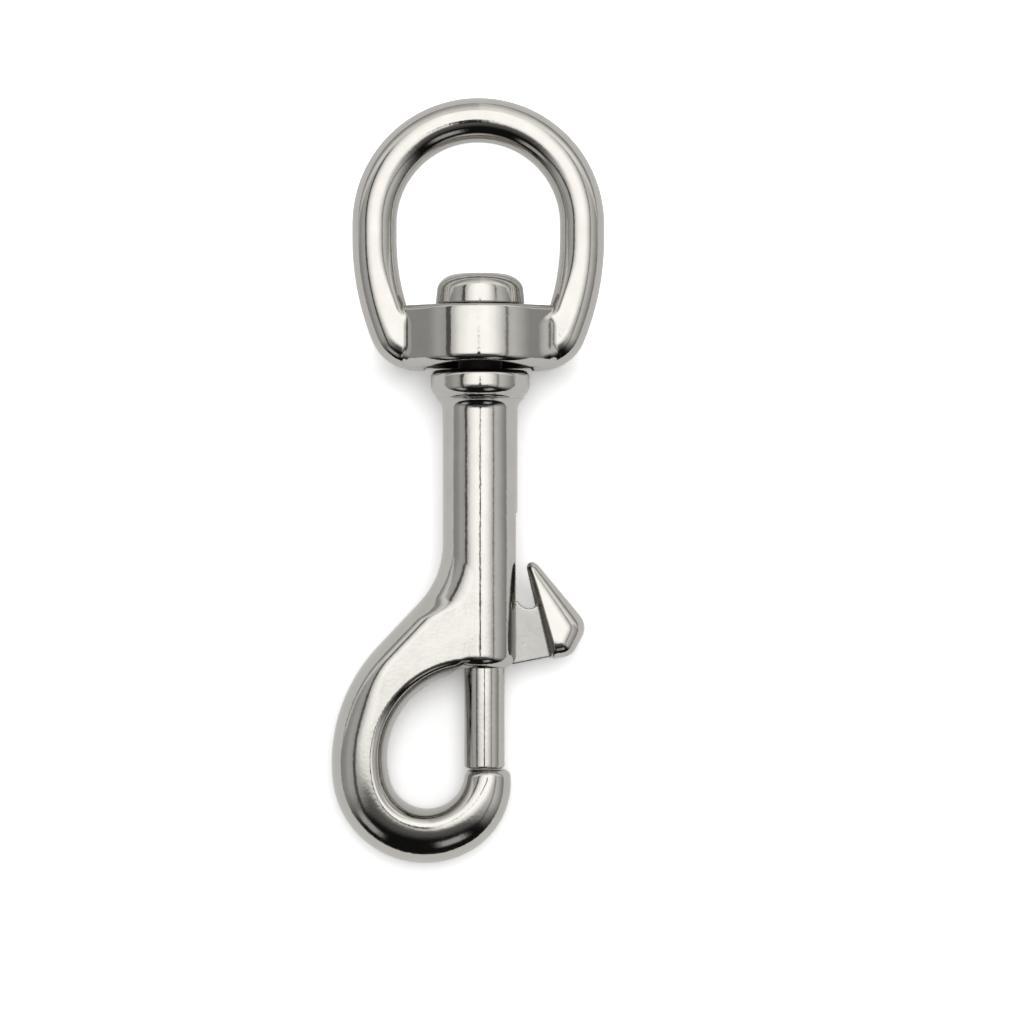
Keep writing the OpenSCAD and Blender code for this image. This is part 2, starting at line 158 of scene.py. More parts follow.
# its half thickness at tip and foot, its rounding, the flank's lean and edge, and how much its
# faces hollow away from the line CROWN_IN in from the flank
KNOB_HALF = (1.3, BOLT_HIGH[2])
KNOB_FULL, KNOB_LEAN, KNOB_EDGE = 2.25, 0.42, 0.25
CROWN, CROWN_IN = 0.02, 1.6
WIRE_R, COIL_R, COIL_N = 0.25, 1.95, 11
COIL_GAP, CLOSED_PITCH = 0.02, 1.05  # air at the ends; rise of an end turn in wire widths


# ---- implicit shapes ---------------------------------------------------------
def length(*parts):
    return np.sqrt(sum(p * p for p in parts))


def unit(degrees):
    a = math.radians(degrees)
    return np.array([math.cos(a), math.sin(a)])


def both(a, b, r):
    """Intersection whose edge is rounded with radius r."""
    return np.minimum(-r, np.maximum(a, b)) + length(np.maximum(r + a, 0), np.maximum(r + b, 0))


def either(a, b, r):
    """Union whose inner corner is filleted with radius r."""
    return np.maximum(r, np.minimum(a, b)) - length(np.maximum(r - a, 0), np.maximum(r - b, 0))


def without(a, b, r):
    """a less b, with the edge rounded with radius r."""
    return both(a, -b, r)


def soft_min(a, b, k):
    h = np.maximum(k - np.abs(a - b), 0) / k
    return np.minimum(a, b) - h * h * k / 4


def smooth_step(t, start, end):
    s = np.clip((t - start) / (end - start), 0, 1)
    return s * s * (3 - 2 * s)


def past(centre, direction, x, y):
    """True to the left of the ray that leaves centre in that direction."""
    return direction[0] * (y - centre[1]) - direction[1] * (x - centre[0]) > 0


def bar_section(z, half, *sides):
    """Steel between outlines, each given as the distance in from it and the width over which
    the section rounds off to it as a quarter ellipse; it is flat in the middle."""
    q, wide = 0.0, half
    for inside, width in sides:
        edge = 1 - inside / width
        wide = np.where(edge > q, width, wide)
        q = np.maximum(q, edge)
    k = length(q, z / half)
    return (k - 1) * k / np.maximum(length(q / wide, z / half**2), 1e-6)


def boss_face(x, z):
    """Front of the boss: round in the middle, then straight down its two flanks."""
    x, z = np.abs(x), z + BOSS_R - BOSS_HALF
    flank = unit(90 - BOSS_FLANK)
    return np.where(x * flank[1] > z * flank[0], x * flank[0] + z * flank[1], length(x, z)) - BOSS_R


def recess_top(x):
    return RECESS_TOP - RECESS_RISE * (x / RECESS_WIDE) ** 2


def eye(x, y, z):
    x = x - EYE_X
    side = -np.abs(x)
    leg_r = ((LOOP_R + CORNER[0]) ** 2 + (LEG_START - CORNER[1]) ** 2 - CORNER_R**2) / (
        2 * (LOOP_R + CORNER[0] - CORNER_R))
    leg_c = np.array([leg_r - LOOP_R, LEG_START])
    leg_end = np.array(CORNER) - leg_c
    leg_end = leg_end / np.hypot(*leg_end)
    # distance in from the outer outline: loop, straight, leg, corner, foot
    outside = LOOP_R + BAR_R - length(x, y)
    outside = np.where(y < 0, LOOP_R + BAR_R + side, outside)
    outside = np.where(y < LEG_START, leg_r + BAR_R - length(side - leg_c[0], y - leg_c[1]), outside)
    corner = CORNER_R + BAR_R - length(side - CORNER[0], y - CORNER[1])
    outside = np.where(past(CORNER, leg_end, side, y), corner, outside)
    foot = y - (CORNER[1] - CORNER_R - BAR_R)
    outside = np.where((side > CORNER[0]) & (y < CORNER[1]), foot, outside)
    # distance out from the opening: loop, straight, leg, fillet, floor
    fillet_r = leg_r - BAR_R - FLOOR_FILLET
    floor_angle = math.asin((LEG_START - FLOOR_Y - FLOOR_FILLET) / fillet_r)
    fillet_c = leg_c - fillet_r * np.array([math.cos(floor_angle), math.sin(floor_angle)])
    inside = length(x, y) - (LOOP_R - BAR_R)
    inside = np.where(y < 0, -side - (LOOP_R - BAR_R), inside)
    inside = np.where(y < LEG_START, length(side - leg_c[0], y - leg_c[1]) - (leg_r - BAR_R), inside)
    floor_dir = (fillet_c - leg_c) / fillet_r
    low = past(fillet_c, floor_dir, side, y)
    inside = np.where(low, length(side - fillet_c[0], y - fillet_c[1]) - FLOOR_FILLET, inside)
    inside = np.where(low & (side > fillet_c[0]), FLOOR_Y - y, inside)
    inner_wide = BAR_R - INNER_TRIM - THIN * smooth_step(-y, *THIN_Y)
    bar = bar_section(z, BAR_R, (outside, BAR_R), (inside, inner_wide))
    # boss: two curved faces between a crisp upper edge and a full lower one
    side_edge, top_edge, low_edge = BOSS_EDGES
    lens = both(np.maximum(boss_face(x, z), boss_face(x, -z)), -side - BOSS_WIDE, side_edge)
    boss = both(both(lens, y - BOSS_TOP, top_edge), BOSS_LOW - y, low_edge)
    # the fillet between them fades out where their upper and lower faces run side by side
    mid = np.minimum(FLOOR_Y - y, foot)
    metal = either(bar, boss, 0.05 + np.where(x < 0, *FLANK_FILLET) * smooth_step(mid, *FILLET_FADE))
    recess = np.maximum(y - recess_top(x), RECESS_BACK - z)
    metal = without(metal, np.maximum(recess, -side - RECESS_WIDE), 0.1)
    axis = length(x + EYE_X, z)
    metal = without(metal, np.maximum(axis - BORE_R, y), 0.1)
    return without(metal, np.maximum(axis - SPOT_R, y - SPOT_Y), 0.06)


def hook(x, y, z):
    """The flare, back, bend and nose as one bar whose section changes along the way."""
    span = BACK_C - FLARE_C
    tangent = math.degrees(math.atan2(span[1], span[0])
                           + math.acos((FLARE_R + BACK_R) / np.hypot(*span)))
    bend = BEND_C - BACK_C
    back_end = bend / np.hypot(*bend)
    nose_c = BEND_C + (BEND_R - NOSE_R) * unit(NOSE_ANGLE)
    normal = unit(180 + tangent)
    above = y > (BARREL_END + NOSE_TOP) / 2
    nose_side = (x > OPEN_C[0]) & ~above
    # distance in from the outer outline: straight, flare, line, back, bend, nose
    outside = np.where(y > FLARE_C[1], x - FLARE_C[0] - FLARE_R,
                       length(x - FLARE_C[0], y - FLARE_C[1]) - FLARE_R)
    line = BACK_R - (x - BACK_C[0]) * normal[0] - (y - BACK_C[1]) * normal[1]
    outside = np.where(past(FLARE_C, unit(tangent), x, y), outside, line)
    on_back = past(BACK_C, normal, x, y) | nose_side
    outside = np.where(on_back, BACK_R - length(x - BACK_C[0], y - BACK_C[1]), outside)
    on_bend = on_back & past(BACK_C, back_end, x, y) | nose_side
    outside = np.where(on_bend, BEND_R - length(x - BEND_C[0], y - BEND_C[1]), outside)
    on_nose = on_bend & past(BEND_C, unit(NOSE_ANGLE), x, y)
    outside = np.where(on_nose, NOSE_R - length(x - nose_c[0], y - nose_c[1]), outside)
    # distance out from the opening: its arch, then its bend; the web ends inside the barrel
    inside = np.where(past(ARCH_C, OPEN_C - ARCH_C, x, y), length(x - OPEN_C[0], y - OPEN_C[1]) - OPEN_R,
                      length(x - ARCH_C[0], y - ARCH_C[1]) - ARCH_R)
    right = np.where(above, BARREL_R - x, FAR)
    # the section follows the way round the opening
    way = (np.degrees(np.arctan2(y - WAY_C[1], x - WAY_C[0])) - 90) % 360
    way = np.where(way > WAY_NONE, 0, way)
    lean = LEAN * (1 - (1 - np.clip(-x / LEAN_SPAN, 0, 1)) ** 2)
    half = BARREL_R + soft_min(-SINK * smooth_step(way, *SINK_WAY), -lean, SINK_BLEND)
    for less, stretch in THINNER:
        half = half - less * smooth_step(way, *stretch)
    wide_out = BARREL_R + OUTER_MORE * smooth_step(way, *OUTER_WAY)
    wide_in = INNER_WIDE
    for more, stretch in INNER_MORE:
        wide_in = wide_in + more * smooth_step(way, *stretch)
    wide_out = wide_out * (1 - BOXY * smooth_step(-y, *BOXY_TOP) * smooth_step(y, *BOXY_LOW))
    # where the bar is narrow, its outer rounding gives way to the inner one
    wide_out = soft_min(wide_out, np.maximum(outside + inside - wide_in - 0.1, 0.3), 0.8)
    bar = bar_section(z, half, (outside, wide_out), (inside, wide_in), (right, BARREL_R))
    nose_cut = np.where(nose_side, y - NOSE_TOP, -FAR)
    root_end = BARREL_END - ROOT_RISE * smooth_step(-x, *ROOT_RISE_X)
    root_cut = np.where(above & (x > ROOT_X), root_end - y, -FAR)
    root_round = 0.02 + (END_ROUND - 0.02) * smooth_step(x, *ROOT_EDGE_X)
    bar = both(both(bar, nose_cut, NOSE_EDGE), root_cut, root_round)
    return np.maximum(bar, y - FLARE_C[1] - 2)


def body(x, y, z):
    axis = length(x, z)
    top_edge, low_edge = COLLAR_EDGES
    collar = both(axis - COLLAR_R, y - COLLAR_TOP, top_edge)
    collar = both(collar, COLLAR_TOP - COLLAR_H - y, low_edge)
    flare = NECK_R - np.sqrt(NECK_R**2 - np.clip(y - NECK_Y, 0, 0.82 * NECK_R) ** 2)
    barrel = both(np.maximum(axis - BARREL_R - flare, y - COLLAR_TOP + 1), BARREL_END - y, END_ROUND)
    metal = np.minimum(either(collar, barrel, 0.22), hook(x, y, z))
    bore = np.maximum(length(x - BOLT_X, z) - BOLT_R - BOLT_GAP, y - BORE_BLIND)
    slot = np.maximum(np.maximum(np.abs(z) - SLOT_HALF, BOLT_X - x), y - SLOT_TOP)
    low_end = np.maximum(y - BORE_BLIND, BARREL_END - 1.5 - y)
    metal = without(metal, np.maximum(np.minimum(bore, slot), low_end), 0.12)
    return without(metal, np.maximum(axis - SHANK_R - 0.01, COLLAR_TOP - RIVET_HOLE - y), 0.05)


def knob(x, y, z):
    """A wedge with a long tip: full round along its right and lower sides, and a flank that
    leans in from the web up to a crisp edge on the left."""
    normals, edges = [], []
    for (ca, ra), (cb, rb) in zip(KNOB, KNOB[1:] + KNOB[:1]):
        span = np.array(cb) - ca
        turn = math.atan2(span[1], span[0]) + math.acos((ra - rb) / np.hypot(*span))
        normals.append(unit(math.degrees(turn)))
        edges.append((x - ca[0]) * normals[-1][0] + (y - ca[1]) * normals[-1][1] - ra)
    flank = edges.pop()
    full = np.maximum.reduce(edges)
    for i, (c, r) in enumerate(KNOB):
        corner = past(c, normals[i], x, y) & ~past(c, normals[i - 1], x, y)
        disc = length(x - c[0], y - c[1]) - r
        if i in (1, 2):
            full = np.where(corner, disc, full)
        else:
            flank = np.where(corner, disc, flank)
    tip, foot = KNOB_HALF
    tip_y, foot_y = KNOB[0][0][1], KNOB[3][0][1]
    half = tip + (foot - tip) * np.clip((tip_y - y) / (tip_y - foot_y), -0.2, 1.2)
    face = np.abs(z) - half + CROWN * (np.maximum(-flank, 0) - CROWN_IN) ** 2
    full = both(full, face, np.minimum(KNOB_FULL, half))
    return both(full, flank + KNOB_LEAN * np.abs(z), KNOB_EDGE)


def bolt(x, y, z):
    axis = length(x - BOLT_X, z)
    rod = both(both(axis - BOLT_R, y - SHOULDER, 0.1), BOLT_END - y, 0.3)
    # a thinner guide on the rod's top holds the spring
    guide = both(axis - GUIDE_R, y - SHOULDER - GUIDE_L, 0.3)
    rod = np.minimum(rod, np.maximum(guide, SHOULDER - 1 - y))
    start, end = WEB_RISE_X
    low = WEB_LOW + WEB_RISE * np.clip((x - start) / (end - start), 0, 1)
    web = both(np.abs(z) - WEB_HALF, np.maximum(y - WEB_TOP, low - y), 0.2)
    web = np.maximum(np.maximum(web, BOLT_X - x), x - WEB_END)
    notch = length(x - BARREL_R - NOTCH_R, y - WEB_TOP - NOTCH_UP) - NOTCH_R
    web = without(web, notch, 0.15)
    return np.minimum(rod, either(web, knob(x, y, z), 0.25))


# ---- meshing -----------------------------------------------------------------
def slope(shape, p, step=0.01):
    """Gradient of shape at points p by central differences."""
    g = np.empty_like(p)
    for i in range(3):
        a, b = p.copy(), p.copy()
        a[:, i] += step
        b[:, i] -= step
        g[:, i] = (shape(*a.T) - shape(*b.T)) / (2 * step)
    return g


def draw_in(shape, p, limit, steps=3):
    """Move points p onto the surface, each by at most limit a step."""
    for _ in range(steps):
        g = slope(shape, p)
        d = shape(*p.T) / np.maximum((g * g).sum(1), 0.05)
        move = g * d[:, None]
        far = length(*move.T)
        p = p - move * np.minimum(1, limit / np.maximum(far, 1e-9))[:, None]
    return p


def surface(shape, low, high, pitch):
    """Surface-nets mesh of an implicit shape: points, quads and normals."""
    low = np.array(low) - 1.5 * pitch
    axes = [np.arange(a, b + 2.5 * pitch, pitch) for a, b in zip(low, high)]
    v = shape(*np.meshgrid(*axes, indexing="ij", sparse=True))
    full = v < 0
    n = np.array(v.shape)
    corners = [np.array([i, j, k]) for i in (0, 1) for j in (0, 1) for k in (0, 1)]
    views = [full[c[0]:n[0] - 1 + c[0], c[1]:n[1] - 1 + c[1], c[2]:n[2] - 1 + c[2]] for c in corners]
    active = np.any(views, axis=0) & ~np.all(views, axis=0)
    cells = np.argwhere(active)
    number = np.full(active.shape, -1)
    number[active] = np.arange(len(cells))
    total, count = np.zeros((len(cells), 3)), np.zeros(len(cells))
    for a in corners:
        for b in corners:
            if (b - a).min() < 0 or (b - a).sum() != 1:
                continue
            va, vb = v[tuple((cells + a).T)], v[tuple((cells + b).T)]
            cut = (va < 0) != (vb < 0)
            t = np.where(cut, va / np.where(cut, va - vb, 1), 0)
            total += (a + t[:, None] * (b - a)) * cut[:, None]
            count += cut
    p = low + pitch * (cells + total / count[:, None])
    quads = []
    for i in range(3):
        e, f, g = np.roll(np.eye(3, dtype=int), i, axis=0)
        ahead = full[tuple(slice(d, None) for d in e)]
        here = full[tuple(slice(0, m - d) for m, d in zip(n, e))]
        for flip in (False, True):
            edges = np.argwhere((here & ~ahead) if flip else (ahead & ~here))
            ring = [number[tuple((edges - o).T)] for o in (f + g, g, 0 * g, f)]
            quads.append(np.stack(ring[::-1] if flip else ring, axis=1)[:, ::-1])
    quads = np.concatenate(quads)
    p = draw_in(shape, p, pitch / 2)
    pairs = np.concatenate([quads[:, [k, (k + 1) % 4]] for k in range(4)])
    valence = np.bincount(pairs[:, 0], minlength=len(p)) + np.bincount(pairs[:, 1], minlength=len(p))
    for _ in range(3):
        mean = np.stack([np.bincount(pairs[:, 0], p[pairs[:, 1], i], len(p))
                         + np.bincount(pairs[:, 1], p[pairs[:, 0], i], len(p)) for i in range(3)], 1)
        shift = mean / valence[:, None] - p
        g = slope(shape, p)
        g /= np.maximum(length(*g.T), 1e-9)[:, None]
        p = draw_in(shape, p + 0.5 * (shift - g * (shift * g).sum(1)[:, None]), pitch / 2, 1)
    p = draw_in(shape, p, pitch / 2, 2)
    g = slope(shape, p)
    return p, quads, g / np.maximum(length(*g.T), 1e-9)[:, None]


def add_mesh(name, points, faces, normals=None):
    mesh = bpy.data.meshes.new(name)
    mesh.from_pydata((np.asarray(points) * MM).tolist(), [], [list(f) for f in faces])
    mesh.shade_smooth()
    if normals is not None:
        mesh.normals_split_custom_set_from_vertices(normals.tolist())
    obj = bpy.data.objects.new(name, mesh)
    bpy.context.scene.collection.objects.link(obj)
    return obj


def revolve(name, profile, centre_x=0.0, segments=160):
    """Closed solid turned about the Y axis from (radius, y) points that start and end at radius 0."""
    profile = np.array(profile)
    a = np.arange(segments) / segments * 2 * math.pi
    ring = profile[1:-1]
    pts = np.stack([centre_x + ring[:, :1] * np.cos(a), ring[:, 1:] + 0 * a, ring[:, :1] * np.sin(a)], -1)
    pts = pts.reshape(-1, 3)
    m = len(ring)
    start, end = len(pts), len(pts) + 1
    ends = [[centre_x, profile[0, 1], 0], [centre_x, profile[-1, 1], 0]]
    k = np.arange(segments)
    faces = []
    for i in range(m - 1):
        b, c = i * segments, (i + 1) * segments
        faces += np.stack([b + k, b + (k + 1) % segments, c + (k + 1) % segments, c + k], 1).tolist()
    last = (m - 1) * segments
    faces += np.stack([0 * k + start, (k + 1) % segments, k], 1).tolist()
    faces += np.stack([0 * k + end, last + k, last + (k + 1) % segments], 1).tolist()
    return add_mesh(name, np.concatenate([pts, ends]), faces)


def spring(steps=40, around=10):
    """Helix between the bore's end and the bolt's shoulder, its end turns closed."""
    y0, y1 = SHOULDER + WIRE_R + COIL_GAP, BORE_BLIND - WIRE_R - COIL_GAP
    t = np.arange(COIL_N * steps + 1) / steps
    closed = 2 * WIRE_R * CLOSED_PITCH
    rise = np.interp(t, [0, 1, COIL_N - 1, COIL_N], [0, closed, y1 - y0 - closed, y1 - y0])
    a, b = 2 * math.pi * t[:, None], 2 * math.pi * np.arange(around) / around
    r = COIL_R + WIRE_R * np.cos(b)
    pts = np.stack([BOLT_X + r * np.sin(a), y0 + rise[:, None] + WIRE_R * np.sin(b), r * np.cos(a)], -1)
    i, j = np.meshgrid(np.arange(len(t) - 1) * around, np.arange(around), indexing="ij")
    k = (j + 1) % around
    faces = np.stack([i + j, i + k, i + around + k, i + around + j], -1).reshape(-1, 4).tolist()
    last = len(t) * around
    faces += [list(range(around))[::-1], list(range(last - around, last))]
    return add_mesh("bolt_spring_coil", pts.reshape(-1, 3), faces)


def rivet():
    """Button head with a soft upper corner and a slight dome, on its shank."""
    top = HEAD_TOP - HEAD_DOME
    corner = [(HEAD_R - HEAD_TAPER - HEAD_RUN * (1 - math.cos(a)), top - HEAD_RISE * (1 - math.sin(a)))
              for a in np.radians(np.linspace(0, 90, 24))]
    flat = corner[-1][0]
    crown = [(r, HEAD_TOP - HEAD_DOME * (r / flat) ** 2) for r in np.linspace(flat, 0, 10)[1:]]
    foot = [(HEAD_R - HEAD_FOOT * (1 - math.cos(a)), HEAD_UNDER + HEAD_FOOT * (1 - math.sin(a)))
            for a in np.radians(np.linspace(90, 0, 6))]
    low = RIVET_LOW[1]
    shank = [(0, low), (SHANK_R - SHANK_CHAMFER, low), (SHANK_R, low + SHANK_CHAMFER),
             (SHANK_R, HEAD_UNDER - 0.05), (SHANK_R + 0.05, HEAD_UNDER)]
    return revolve("rivet_head_and_shank", shank + foot + corner[1:] + crown)


# ---- materials ---------------------------------------------------------------
POLISH = (0.5, 0.483, 0.452)
# the middle colour is painted shade for the knob's left flank
# the near-black last colour is painted shade for the recess under the boss
AS_CAST, PAINTED_FLANK_SHADE, PAINTED_SHADE_BLACK = (0.53, 0.515, 0.49), (0.26, 0.245, 0.225), (0.05, 0.045, 0.04)
DRAWN_WIRE = (0.5, 0.49, 0.48)
# relief and patches: how many features per metre, and heights of relief in metres
LENGTHWAYS, FINE_GRIT = (9000.0, 260.0, 9000.0), (5200.0, 5200.0, 5200.0)
BEADS, BEAD_HEIGHT = 2300.0, 7.0e-6
WAVES, WAVE_HEIGHT = 190.0, 4.0e-5
HAZE, TONES = 260.0, 450.0
# painted shade in the recess under the boss, near black and dull: radius about the swivel's axis, and top
RECESS_PAINTED_SHADE = (RECESS_WIDE + 0.15, SPOT_Y + 0.7)
PAINTED_SHADE_ROUGH = 0.5


def new_material(name):
    mat = bpy.data.materials.new(name)
    mat.use_nodes = True
    mat.node_tree.nodes.clear()
    return mat, mat.node_tree.nodes, mat.node_tree.links


def math_node(tree, operation, *inputs):
    """Math node fed by sockets or plain numbers; returns its output."""
    node = tree.nodes.new("ShaderNodeMath")
    node.operation = operation
    for socket, value in zip(node.inputs, inputs):
        if isinstance(value, (int, float)):
            socket.default_value = value
        else:
            tree.links.new(value, socket)
    return node.outputs[0]


def noise(tree, place, scale, detail, rough=0.55):
    """Noise whose scale in X, Y and Z is given per metre; returns its factor output."""
    stretch = tree.nodes.new("ShaderNodeMapping")
    stretch.inputs["Scale"].default_value = scale if isinstance(scale, tuple) else (scale,) * 3
    tree.links.new(place, stretch.inputs[0])
    grain = tree.nodes.new("ShaderNodeTexNoise")
    grain.inputs["Scale"].default_value = 1.0
    grain.inputs["Detail"].default_value = detail
    grain.inputs["Roughness"].default_value = rough
    tree.links.new(stretch.outputs[0], grain.inputs["Vector"])
    return grain.outputs["Fac"]


def mix(tree, factor, a, b):
    """Colour that goes from a to b with factor; each is a socket or a colour."""
    node = tree.nodes.new("ShaderNodeMix")
    node.data_type = "RGBA"
    tree.links.new(factor, node.inputs["Factor"])
    for socket, value in ((node.inputs["A"], a), (node.inputs["B"], b)):
        if isinstance(value, tuple):
            socket.default_value = (*value, 1)
        else:
            tree.links.new(value, socket)
    return node.outputs["Result"]


def ramp(tree, value, start, end):
    """0 before start and 1 past end, in millimetres, whichever way they lie."""
    node = tree.nodes.new("ShaderNodeMapRange")
    node.interpolation_type = "SMOOTHSTEP"
    node.inputs["From Min"].default_value, node.inputs["From Max"].default_value = start * MM, end * MM
    tree.links.new(value, node.inputs["Value"])
    return node.outputs[0]


def hollow(tree, place, radius, top):
    """1 round the swivel axis within radius and below top, where the recess is painted dark as shade; 0
    elsewhere.
    """
    axes = tree.nodes.new("ShaderNodeSeparateXYZ")
    tree.links.new(place, axes.inputs[0])
    across, up = axes.outputs["X"], axes.outputs["Z"]
    square = math_node(tree, "MULTIPLY_ADD", up, up, math_node(tree, "MULTIPLY", across, across))
    near = ramp(tree, math_node(tree, "SQRT", square), radius + 0.15, radius - 0.15)
    return math_node(tree, "MULTIPLY", near, ramp(tree, axes.outputs["Y"], top + 0.1, top - 0.1))


def steel(name, colour, roughness, brushing, scratch, bead=BEAD_HEIGHT, wave=WAVE_HEIGHT, painted_shade=None):
    """Polished cast steel. Its relief has three sizes: brushing along the piece, scratch metres
    high; beads of half a millimetre from the belt; and slow waves that bend long reflections.
    The last argument gives the radius and top of a hollow that is painted dark and dull as shade, as
    hollow() takes them."""
    mat, nodes, links = new_material(name)
    tree = mat.node_tree
    out = nodes.new("ShaderNodeOutputMaterial")
    shader = nodes.new("ShaderNodeBsdfPrincipled")
    shader.inputs["Metallic"].default_value = 1.0
    links.new(shader.outputs[0], out.inputs[0])
    place = nodes.new("ShaderNodeTexCoord").outputs["Object"]
    brush = noise(tree, place, brushing, 5.0, 0.65)
    height = math_node(tree, "MULTIPLY", brush, scratch)
    for scale, tall in ((BEADS, bead), (WAVES, wave)):
        height = math_node(tree, "MULTIPLY_ADD", noise(tree, place, scale, 1.5), tall, height)
    relief = nodes.new("ShaderNodeBump")
    relief.inputs["Distance"].default_value = 1.0
    links.new(height, relief.inputs["Height"])
    links.new(relief.outputs[0], shader.inputs["Normal"])
    # roughness follows the brushing, and hazy patches where the polish is thin
    rough = nodes.new("ShaderNodeMapRange")
    rough.inputs["From Min"].default_value, rough.inputs["From Max"].default_value = 0.7, 1.3
    rough.inputs["To Min"].default_value = roughness * 0.7
    rough.inputs["To Max"].default_value = roughness * 1.4
    links.new(math_node(tree, "ADD", brush, noise(tree, place, HAZE, 3.0)), rough.inputs["Value"])
    dull = rough.outputs[0]
    dark, light = (tuple(c * k for c in colour) for k in (0.9, 1.05))
    tone = mix(tree, noise(tree, place, TONES, 4.0), dark, light)
    # painted shade: inside the hollow the steel turns near black and rougher
    if painted_shade:
        where = hollow(tree, place, *painted_shade)
        dull = math_node(tree, "MULTIPLY_ADD", where, PAINTED_SHADE_ROUGH, dull)
        tone = mix(tree, where, tone, PAINTED_SHADE_BLACK)
    links.new(dull, shader.inputs["Roughness"])
    links.new(tone, shader.inputs["Base Color"])
    return mat


def second_skin(obj, mat, where):
    """Give the faces for which where(centre, normal) holds another material."""
    mesh = obj.data
    centres, normals = np.empty((2, 3 * len(mesh.polygons)))
    index = np.empty(len(mesh.polygons), np.int32)
    mesh.polygons.foreach_get("center", centres)
    mesh.polygons.foreach_get("normal", normals)
    mesh.polygons.foreach_get("material_index", index)
    chosen = where(centres.reshape(-1, 3).T / MM, normals.reshape(-1, 3).T)
    mesh.polygons.foreach_set("material_index", np.where(chosen, len(mesh.materials), index))
    mesh.materials.append(mat)


def dress(obj, node, on_body, mat):
    """Give obj its steel, and let it ride its body in place of a CAD node."""
    obj.data.materials.append(mat)
    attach(obj, on_body)
    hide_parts(node)
    return obj


# the eye's recess and the rivet's shank inside it get painted shade, near black and dull
eye_steel = steel("eye_steel", POLISH, 0.07, FINE_GRIT, 6.0e-7, bead=5.0e-6, painted_shade=RECESS_PAINTED_SHADE)
body_steel = steel("body_steel", POLISH, 0.09, LENGTHWAYS, 1.2e-6)
rivet_steel = steel("rivet_steel", POLISH, 0.08, FINE_GRIT, 6.0e-7, painted_shade=RECESS_PAINTED_SHADE)
bolt_steel = steel("bolt_steel", POLISH, 0.09, LENGTHWAYS, 1.2e-6)
as_cast = steel("bolt_steel_as_cast", AS_CAST, 0.36, FINE_GRIT, 1.0e-5, bead=1.6e-5)
# painted shade: a darker steel for the knob's left flank
painted_flank_shade = steel("bolt_steel_soiled", PAINTED_FLANK_SHADE, 0.2, FINE_GRIT, 2.0e-6)
spring_steel = steel("spring_steel", DRAWN_WIRE, 0.25, FINE_GRIT, 1.5e-6)

# ---- pieces ------------------------------------------------------------------
COARSER = 1.0
CAST_PITCH, BOLT_PITCH = 0.2 * COARSER, 0.13 * COARSER
dress(add_mesh("eye_casting", *surface(eye, EYE_LOW, EYE_HIGH, CAST_PITCH)),
      "swivel_eye", "eye", eye_steel)
dress(add_mesh("hook_body_casting", *surface(body, BODY_LOW, BODY_HIGH, CAST_PITCH)),
      "snap_body", "body", body_steel)
lever = dress(add_mesh("thumb_bolt_casting", *surface(bolt, BOLT_LOW, BOLT_HIGH, BOLT_PITCH)),
              "thumb_bolt", "bolt", bolt_steel)
# the web's two flats are left as cast, and the knob's left flank is painted darker as shade
second_skin(lever, as_cast, lambda p, n: (p[0] > BARREL_R - 1.2) & (np.abs(p[2]) < WEB_HALF + 0.02)
            & (np.abs(n[2]) > 0.97))
second_skin(lever, painted_flank_shade, lambda p, n: (p[0] > BARREL_R) & (np.abs(p[2]) > WEB_HALF + 0.02)
            & (n[0] < -0.5))
dress(rivet(), "swivel_rivet", "body", rivet_steel)
coil = dress(spring(), "bolt_spring", "body", spring_steel)
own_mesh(coil)


# ---- stage -------------------------------------------------------------------
CAMERA_AT = (3.74, -33.84, 400.0)
VIEW_WIDTH = 120.32
MIDDLE = (BODY_LOW[1] + EYE_HIGH[1]) / 2
BACKDROP = 0.62

# the part rests on its boss and on the hook's back limb, so the floor slopes a little in this frame
REST_BOSS, REST_LIMB = (-15.5, -BOSS_HALF), (-65.0, -4.1)
FLOOR_SLOPE = (REST_LIMB[1] - REST_BOSS[1]) / (REST_LIMB[0] - REST_BOSS[0])
FLOOR_GAP = 0.03
FLOOR_SIZE = 2500.0
# the floor's own colour is pale. To the camera it is lifted to white, by more from SEEN_FROM
# along Y up to the eye, so that only close shadows show
FLOOR_COLOUR, FLOOR_SEEN, SEEN_FROM = 0.92, (1.36, 2.3), (-17.0, -9.0)


def floor_height(y):
    return REST_BOSS[1] - FLOOR_GAP + (y - REST_BOSS[0]) * FLOOR_SLOPE


def floor_material():
    """Pale floor that keeps the shadow and is lifted to white for camera rays."""
    mat, nodes, links = new_material("floor_white")
    out = nodes.new("ShaderNodeOutputMaterial")
    matt = nodes.new("ShaderNodeBsdfDiffuse")
    along = nodes.new("ShaderNodeSeparateXYZ")
    links.new(nodes.new("ShaderNodeTexCoord").outputs["Object"], along.inputs[0])
    level = nodes.new("ShaderNodeMapRange")
    start, end = SEEN_FROM
    level.inputs["From Min"].default_value, level.inputs["From Max"].default_value = start * MM, end * MM
    level.inputs["To Min"].default_value, level.inputs["To Max"].default_value = FLOOR_SEEN
    links.new(along.outputs["Y"], level.inputs["Value"])
    to_camera = nodes.new("ShaderNodeLightPath").outputs["Is Camera Ray"]
    links.new(mix(mat.node_tree, to_camera, (FLOOR_COLOUR,) * 3, level.outputs[0]), matt.inputs["Color"])
    links.new(matt.outputs[0], out.inputs[0])
    return mat


corners = [(x * FLOOR_SIZE, y * FLOOR_SIZE) for x, y in ((-1, -1), (1, -1), (1, 1), (-1, 1))]
floor = add_mesh("floor", [(x, y, floor_height(y)) for x, y in corners], [range(4)])
floor.data.materials.append(floor_material())


